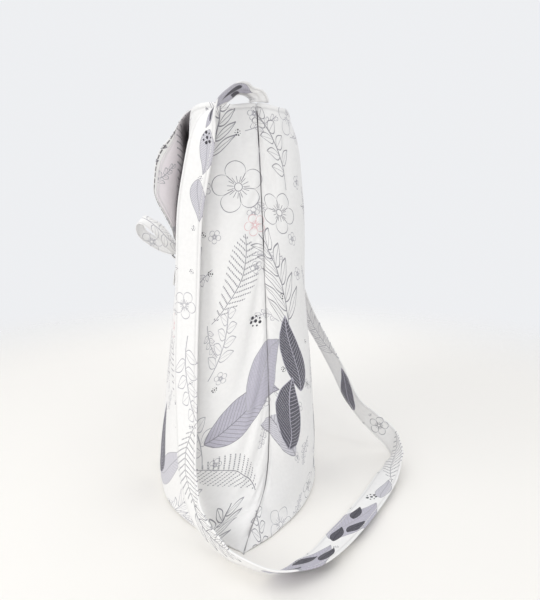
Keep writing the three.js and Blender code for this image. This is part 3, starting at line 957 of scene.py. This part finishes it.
# one repeat of the bag's print, metres; a motif has its place, turn in degrees, size,
# ink and, where it isn't the ground, fill; a strewn one its cell, start, size, share of cells and ink
bagPrint = {
    "width": 0.27,
    "height": 0.42,
    "line": 0.00052,
    "wobble": 0.0016,  # unsteady hand in the drawn lines
    "layers": [
        ("frond", [
            (0.108, 0.112, -52, 0.042, "grey"), (0.172, 0.232, -24, 0.052, "grey"),
            (0.096, 0.308, 26, 0.044, "grey"), (0.236, 0.398, 62, 0.046, "grey"),
        ]),
        ("spray", [
            (0.106, 0.034, 14, 0.040, "grey"), (0.164, 0.060, 28, 0.050, "pale"),
            (0.235, 0.238, 22, 0.048, "grey"), (0.050, 0.306, -20, 0.050, "grey"),
            (0.154, 0.348, -16, 0.050, "pale"),
        ]),
        ("sprig", [
            (0.146, 0.170, -18, 0.042, "pale"), (0.116, 0.250, 20, 0.036, "pale"),
            (0.052, 0.436, -26, 0.038, "grey"), (0.182, 0.410, -34, 0.044, "pale"),
        ]),
        ("leaf", [
            (0.062, 0.146, -38, 0.036, "grey", "paleMauve"), (0.096, 0.172, 72, 0.046, "grey", "mauve"),
            (0.036, 0.236, -8, 0.040, "mauve", "charcoal"), (0.190, 0.128, 64, 0.042, "pale", "paleMauve"),
        ]),
        ("leaf", [
            (0.042, 0.168, 12, 0.042, "mauve", "charcoal"), (0.074, 0.208, 34, 0.044, "pale", "mauve"),
            (0.224, 0.150, 8, 0.045, "mauve", "charcoal"),
        ]),
        ("blossom", [
            (0.030, 0.046, 20, 0.019, "pale"), (0.222, 0.060, 15, 0.025, "grey"),
            (0.252, 0.092, 60, 0.016, "grey"), (0.200, 0.316, 20, 0.027, "grey"),
            (0.236, 0.298, 50, 0.018, "grey"), (0.183, 0.278, 5, 0.012, "blush"),
            (0.050, 0.376, 40, 0.020, "grey"), (0.092, 0.398, 12, 0.025, "grey"),
            (0.078, 0.360, 70, 0.011, "blush"),
        ]),
        ("berries", [
            (0.082, 0.262, 0, 0.0075, "dark", "dark"), (0.226, 0.350, 30, 0.0085, "dark", "dark"),
        ]),
    ],
    "strewn": [
        ("sprig", 0.062, 0.3, 0.0175, 0.62, "pale"),
        ("blossom", 0.047, 0.8, 0.0065, 0.5, "pale"),
        ("berries", 0.039, 0.1, 0.0035, 0.35, "dark"),
    ],
}

# the strap is cut lengthwise: pale lines where it hangs, leaf shapes where it lies on the table
strapPrint = {
    "width": 0.08,
    "height": 1.5,
    "line": 0.0005,
    "wobble": 0.0014,
    "layers": [
        ("frond", [
            (0.013, 0.370, 4, 0.040, "grey"), (0.014, 0.740, -4, 0.042, "grey"),
        ]),
        ("spray", [
            (0.016, 0.440, -5, 0.036, "grey"), (0.015, 0.950, 8, 0.044, "pale"),
        ]),
        ("sprig", [
            (0.016, 0.290, -8, 0.040, "pale"), (0.013, 1.060, -6, 0.044, "pale"),
        ]),
        # the mauve and pale mauve leaves at the start of the run, just past the fold, are partly print and
        # partly painted shade for the strap's turned half there
        ("leaf", [
            (0.016, 0.040, 4, 0.030, "pale", "mauve"), (0.022, 0.128, -6, 0.018, "pale", "paleMauve"),
            (0.014, 0.534, 7, 0.038, "pale", "mauve"), (0.014, 0.617, -5, 0.038, "pale", "mauve"),
            (0.020, 0.683, 10, 0.018, "pale", "paleMauve"), (0.013, 0.868, -14, 0.030, "mauve", "charcoal"),
        ]),
        ("leaf", [
            (0.009, 0.028, -18, 0.009, "dark", "charcoal"), (0.019, 0.036, 14, 0.010, "dark", "charcoal"),
            # the pale mauve leaf at 0.088 is likewise partly painted shade
            (0.017, 0.056, -10, 0.008, "dark", "charcoal"), (0.022, 0.088, 6, 0.018, "pale", "paleMauve"),
            (0.020, 0.518, 20, 0.011, "dark", "charcoal"), (0.009, 0.540, -14, 0.012, "dark", "charcoal"),
            (0.020, 0.557, 10, 0.011, "dark", "charcoal"), (0.010, 0.590, 16, 0.012, "dark", "charcoal"),
            (0.020, 0.608, -10, 0.012, "dark", "charcoal"), (0.010, 0.630, 12, 0.011, "dark", "charcoal"),
        ]),
        ("blossom", [
            (0.012, 0.222, 10, 0.013, "pale"), (0.016, 0.806, 30, 0.013, "grey"),
            (0.015, 1.150, 50, 0.013, "pale"),
        ]),
        ("berries", [
            (0.020, 0.077, 40, 0.0060, "dark", "dark"), (0.012, 0.664, 20, 0.007, "dark", "dark"),
            (0.014, 1.240, 10, 0.008, "dark", "dark"),
        ]),
    ],
    "strewn": [
        ("berries", 0.021, 0.4, 0.0028, 0.4, "grey"),
    ],
}


nowhere = (9, 9, 0.02)  # outside every motif


# one motif at several places that keep clear of each other: its own coordinates, ink and fill there
def motifLayer(tree, vector, ground, kind, places, setup):
    halfWidth, halfLength = motifs[kind][1:]
    halfRepeat = (setup["width"] / 2, setup["height"] / 2, 1)
    spot, ink, fill = nowhere, inkColours["grey"], ground
    for x, y, turn, size, inkName, *fillName in places:
        away = vec(tree, "SUBTRACT", vector, (x, y, 0))
        wrapped = vec(tree, "WRAP", away, halfRepeat, tuple(-edge for edge in halfRepeat))
        laid = addNode(tree, "ShaderNodeMapping", {
            "Vector": wrapped,
            "Location": (0, 0, -setup["line"] / size),
            "Rotation": (0, 0, math.radians(turn)),
            "Scale": (size, size, 1),
        }, vector_type="TEXTURE").outputs[0]
        here = lengthOf(tree, vec(tree, "MULTIPLY", laid, (1 / halfWidth, 1 / halfLength, 0))) < 1.0
        spot = mixVector(tree, here, spot, laid)
        ink = mixColour(tree, here, ink, inkColours[inkName])
        fill = mixColour(tree, here, fill, inkColours[fillName[0]] if fillName else ground)
    return spot, ink, fill


# small motifs in a loose grid of cells, each with its own turn and place; some cells stay empty
def strewnMotif(tree, vector, kind, cell, start, size, share, line):
    spread = vec(tree, "MULTIPLY_ADD", vector, (1 / cell, 1 / cell, 0), (start, start, 0))
    corner = vec(tree, "FLOOR", spread)
    draw = valuesOf(addNode(tree, "ShaderNodeTexWhiteNoise", (corner,), noise_dimensions="2D"))
    nudge = vec(tree, "MULTIPLY_ADD", draw["Color"], (0.4, 0.4, 0), (0.3, 0.3, 0))
    local = vec(tree, "SUBTRACT", vec(tree, "SUBTRACT", spread, corner), nudge)
    turned = addNode(tree, "ShaderNodeVectorRotate", {"Vector": local, "Angle": draw["Value"] * 40.0},
                     rotation_type="Z_AXIS")
    scale = cell / size
    sized = vec(tree, "MULTIPLY_ADD", turned.outputs[0], (scale, scale, 0), (0, 0, line / size))
    return useGroup(tree, motifs[kind][0], Vector=sized)["Ink"] * (draw["Value"] < share)


def noise(vector, scale, detail=2.0):
    entries = {"Vector": vector, "Scale": scale, "Detail": detail}
    return addNode(vector.tree, "ShaderNodeTexNoise", entries).outputs


def printGroup(name, setup):
    tree, into = newGroup(name, {"Ground": inkColours["paper"]}, ["Color"])
    vector = into["Vector"]
    wobble = setup["wobble"]
    shake = noise(vector, 60.0)["Color"]
    drift = vec(tree, "MULTIPLY_ADD", shake, (wobble, wobble, 0), (-wobble / 2, -wobble / 2, 0))
    drawn = vec(tree, "ADD", vector, drift)
    grainy = ramp(Value(tree, noise(vector, 900.0)[0]), 0.30, 0.48, 0.72, 1.0)
    ground = shade = into["Ground"]
    for kind, cell, start, size, share, ink in setup["strewn"]:
        mark = strewnMotif(tree, drawn, kind, cell, start, size, share, setup["line"] * 0.85)
        shade = mixColour(tree, mark, shade, inkColours[ink])
    for kind, places in setup["layers"]:
        spot, ink, fill = motifLayer(tree, drawn, ground, kind, places, setup)
        motif = useGroup(tree, motifs[kind][0], Vector=spot)
        cover = motif["Shape"] * grainy if kind == "leaf" else motif["Shape"]
        shade = mixColour(tree, cover, shade, fill)
        shade = mixColour(tree, motif["Ink"], shade, ink)
    return closeGroup(tree, Color=shade)


# plain weave: height for the bump and a faint change of tone
def weaveGroup():
    tree, into = newGroup("cottonWeave", {"Threads": 1500.0}, ["Height", "Tone"])
    x, y = coordinates(into["Vector"])[:2]
    turns = into["Threads"] * math.tau
    weave = (x * turns).maths("SINE") * (y * turns).maths("SINE")
    slub = Value(tree, noise(into["Vector"], 260.0, 3.0)[0])
    return closeGroup(tree, Height=slub * 0.6 + weave * 0.4, Tone=slub * 0.10 + (weave * 0.012 + 0.95))


# row of stitches a set distance inside an edge: thread mask and its groove
def stitchGroup():
    tree, into = newGroup("stitchRow", {"Inset": 0.003, "Pitch": 0.0031}, ["Thread", "Groove"])
    gap, run = coordinates(into["Vector"])[:2]
    off = abs(gap - into["Inset"])
    half = into["Pitch"] * 0.5
    dash = ramp(abs(run.maths("WRAP", half, half * -1.0)) / half, 0.68, 0.82)
    return closeGroup(tree, Thread=ramp(off, 0.00018, 0.00042) * dash, Groove=ramp(off, 0.0002, 0.0017))


# dark line and soft valley along both side seams of a panel
def seamGroup():
    tree, into = newGroup("sideSeam", {"Width": bagForm["panelWidth"]}, ["Line", "Valley"])
    x = coordinates(into["Vector"])[0]
    gap = x.maths("MINIMUM", into["Width"] - x)
    return closeGroup(tree, Line=ramp(gap, 0.0002, 0.0008), Valley=ramp(gap, 0.0005, 0.005))


prints = {"bag": printGroup("bagPrint", bagPrint), "strap": printGroup("strapPrint", strapPrint)}
cottonWeave, stitchRow, sideSeam = weaveGroup(), stitchGroup(), seamGroup()

# depths and heights in metres for the bump, tones as shares; the groove and valley shares darken the cloth
# as painted shade
clothFinish = {
    "shader": {"Roughness": 0.86, "Sheen Weight": 0.12, "Specular IOR Level": 0.25},
    "weaveDepth": 0.00006,
    "grooveDepth": 0.0004,
    "threadHeight": 0.00035,
    "valleyDepth": 0.0005,
    "bumpStrength": 0.7,
    "grooveShadeShare": 0.12,
    "valleyShadeShare": 0.14,
    "seamTone": 0.75,
    "thread": (0.80, 0.795, 0.79, 1),
    "darkThread": (0.15, 0.146, 0.155, 1),
    "grooveShade": (0.45, 0.44, 0.45, 1),
    "seamShade": (0.20, 0.195, 0.205, 1),
}


def newMaterial(name, constants):
    material = bpy.data.materials.new(name)
    material.use_nodes = True
    shader = material.node_tree.nodes["Principled BSDF"]
    for label, value in constants.items():
        shader.inputs[label].default_value = value
    return material, material.node_tree, shader


# rows holds the stitch rows: distance from the edge, stitch length, thread
def printedCloth(name, pattern, shift, ground, rows, seams=False):
    finish = clothFinish
    material, tree, shader = newMaterial(name, finish["shader"])
    clothUv = addNode(tree, "ShaderNodeUVMap", uv_map="cloth").outputs[0]
    stitchUv = addNode(tree, "ShaderNodeUVMap", uv_map="stitch").outputs[0]
    laid = addNode(tree, "ShaderNodeMapping", {"Vector": clothUv, "Location": (*shift, 0)}).outputs[0]
    drawn = useGroup(tree, prints[pattern], Vector=laid, Ground=ground)
    weave = useGroup(tree, cottonWeave, Vector=clothUv)
    shade = mixColour(tree, 1.0, drawn["Color"], weave["Tone"], "MULTIPLY")
    height = weave["Height"] * finish["weaveDepth"]
    for inset, pitch, thread in rows:
        row = useGroup(tree, stitchRow, Vector=stitchUv, Inset=inset, Pitch=pitch)
        # painted shade darkens the cloth along each stitch groove, besides its bump
        shade = mixColour(tree, row["Groove"] * finish["grooveShadeShare"], shade, finish["grooveShade"])
        shade = mixColour(tree, row["Thread"], shade, finish[thread])
        height = row["Groove"] * -finish["grooveDepth"] + height
        height = row["Thread"] * finish["threadHeight"] + height
    if seams:
        seam = useGroup(tree, sideSeam, Vector=clothUv)
        # painted shade darkens the soft valley beside each seam, besides its bump; the dark line after it is
        # the seam itself
        shade = mixColour(tree, seam["Valley"] * finish["valleyShadeShare"], shade, finish["grooveShade"])
        shade = mixColour(tree, seam["Line"] * finish["seamTone"], shade, finish["seamShade"])
        height = seam["Valley"] * -finish["valleyDepth"] + height
    raised = {"Strength": finish["bumpStrength"], "Distance": 1.0, "Height": height}
    bump = addNode(tree, "ShaderNodeBump", raised)
    plug(tree, shade, shader.inputs["Base Color"])
    plug(tree, bump.outputs[0], shader.inputs["Normal"])
    return material


paper = inkColours["paper"]
shadedPaper = (0.70, 0.665, 0.685, 1)
flapPaper = (0.87, 0.825, 0.85, 1)
nearSeam = 0.07  # where the near side seam falls in the print, so that it runs on from panel to panel
farSeam = nearSeam - bagForm["panelWidth"]
hemRow = (0.0045, 0.0031, "thread")
flapRow = (0.0042, 0.0031, "thread")
strapRow = (0.0028, 0.0031, "thread")
tieRow = (0.0018, 0.0031, "thread")
edgeRow = (0.0007, 0.0055, "darkThread")
clothMaterials = {
    "front": printedCloth("frontPrint", "bag", (nearSeam, 0), paper, [hemRow], seams=True),
    "back": printedCloth("backPrint", "bag", (farSeam, 0), paper, [hemRow], seams=True),
    "flap": printedCloth("flapPrint", "bag", (0.11, 0.40), paper, [edgeRow, flapRow]),
    "lining": printedCloth("liningPrint", "bag", (0.02, 0.14), shadedPaper, [hemRow]),
    "flapLining": printedCloth("flapLiningPrint", "bag", (0.10, 0.36), flapPaper, [flapRow]),
    "strap": printedCloth("strapPrint", "strap", (0, 0), paper, [strapRow]),
    "tie": printedCloth("tiePrint", "strap", (0.006, 0.19), paper, [tieRow]),
}
print("cloth materials made")

dressing = [
    (frontPanel, "front", "printed_cloth", ["front_panel"]),
    (backPanel, "back", "printed_cloth", ["back_panel"]),
    (liningFront, "lining", "lining_cloth", ["lining_front"]),
    (liningBack, "lining", "lining_cloth", ["lining_back"]),
    (flapCloth, "flap", "printed_cloth", ["flap"]),
    (flapLining, "flapLining", "lining_cloth", ["flap_lining"]),
    (strap, "strap", "strap_cloth", ["shoulder_strap"]),
    (knot, "tie", "strap_cloth", ["bow_knot"]),
    (loopNear, "tie", "strap_cloth", ["bow_loop_near"]),
    (loopFar, "tie", "strap_cloth", ["bow_loop_far"]),
    (flapTie, "tie", "strap_cloth", ["flap_tie"]),
    (bodyTie, "tie", "strap_cloth", ["body_tie"]),
]
for piece, cloth, slotName, nodes in dressing:
    piece.data.materials.append(clothMaterials[cloth])
    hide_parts(*nodes)
    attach(piece, "root")

ties = [(loopNear, loopNearLength), (loopFar, loopFarLength)]
ties += [(flapTie, flapTieLength), (bodyTie, bodyTieLength)]
print("pieces dressed")


# pale floor that fades out round the bag, soft studio light
stageSetup = {
    "floorColour": (0.93, 0.91, 0.872, 1),
    "floorRoughness": 0.6,
    "floorDrop": 0.0004,
    "roomColour": (0.97, 0.98, 1.0, 1),
    "backColour": (0.855, 0.865, 0.885, 1),
    "ambient": 0.68,
    "fadeFrom": 0.50,
    "fadeTo": 1.15,
}


def makeFloor(setup):
    bm = bmesh.new()
    bmesh.ops.create_circle(bm, cap_ends=True, segments=96, radius=setup["fadeTo"])
    bmesh.ops.translate(bm, vec=(0, 0, -setup["floorDrop"]), verts=bm.verts)
    floor = pieceFrom(bm, "paleFloor")
    constants = {"Base Color": setup["floorColour"], "Roughness": setup["floorRoughness"]}
    material, tree, shader = newMaterial("paleFloor", constants)
    reach = lengthOf(tree, addNode(tree, "ShaderNodeTexCoord").outputs["Object"])
    plug(tree, ramp(reach, setup["fadeFrom"], setup["fadeTo"]), shader.inputs["Alpha"])
    floor.data.materials.append(material)


# the room lights the bag; camera and mirror rays see the plain background
def makeWorld(setup):
    world = bpy.data.worlds.new("softRoom")
    scene.world = world
    world.use_nodes = True
    tree = world.node_tree
    tree.nodes.clear()
    lit = {"Color": setup["roomColour"], "Strength": setup["ambient"]}
    room = addNode(tree, "ShaderNodeBackground", lit).outputs[0]
    seen = addNode(tree, "ShaderNodeBackground", {"Color": setup["backColour"]}).outputs[0]
    rays = valuesOf(addNode(tree, "ShaderNodeLightPath"))
    clear = greatest(rays["Is Camera Ray"], rays["Is Glossy Ray"], rays["Is Transmission Ray"])
    mixed = addNode(tree, "ShaderNodeMixShader", (clear, room, seen)).outputs[0]
    addNode(tree, "ShaderNodeOutputWorld", (mixed,))


# name, place, size, power, colour
lampSetup = [
    ("windowLamp", (0.75, -1.15, 1.05), 1.1, 7.6, (1.0, 0.985, 0.96)),
    ("topLamp", (0.35, 0.2, 1.6), 1.0, 4.4, (1.0, 1.0, 1.0)),
    ("fillLamp", (0.6, 1.25, 0.7), 1.0, 0.5, (0.96, 0.98, 1.0)),
    ("rearLamp", (-1.2, 0.2, 0.8), 1.0, 3.2, (1.0, 1.0, 1.0)),
    ("frontLamp", (1.25, -0.1, 0.3), 0.5, 1.9, (1.0, 0.99, 0.98)),
]
lampAim = (0, 0, 0.2)


def makeLamps(lamps):
    for name, place, size, power, colour in lamps:
        lamp = bpy.data.lights.new(name, "AREA")
        lamp.size, lamp.energy, lamp.color = size, power, colour
        holder = bpy.data.objects.new(name, lamp)
        holder.location = place
        holder.rotation_mode = "QUATERNION"
        holder.rotation_quaternion = (Vector(lampAim) - Vector(place)).to_track_quat("-Z", "Y")
        scene.collection.objects.link(holder)


makeFloor(stageSetup)
makeWorld(stageSetup)
makeLamps(lampSetup)
print("stage lit")
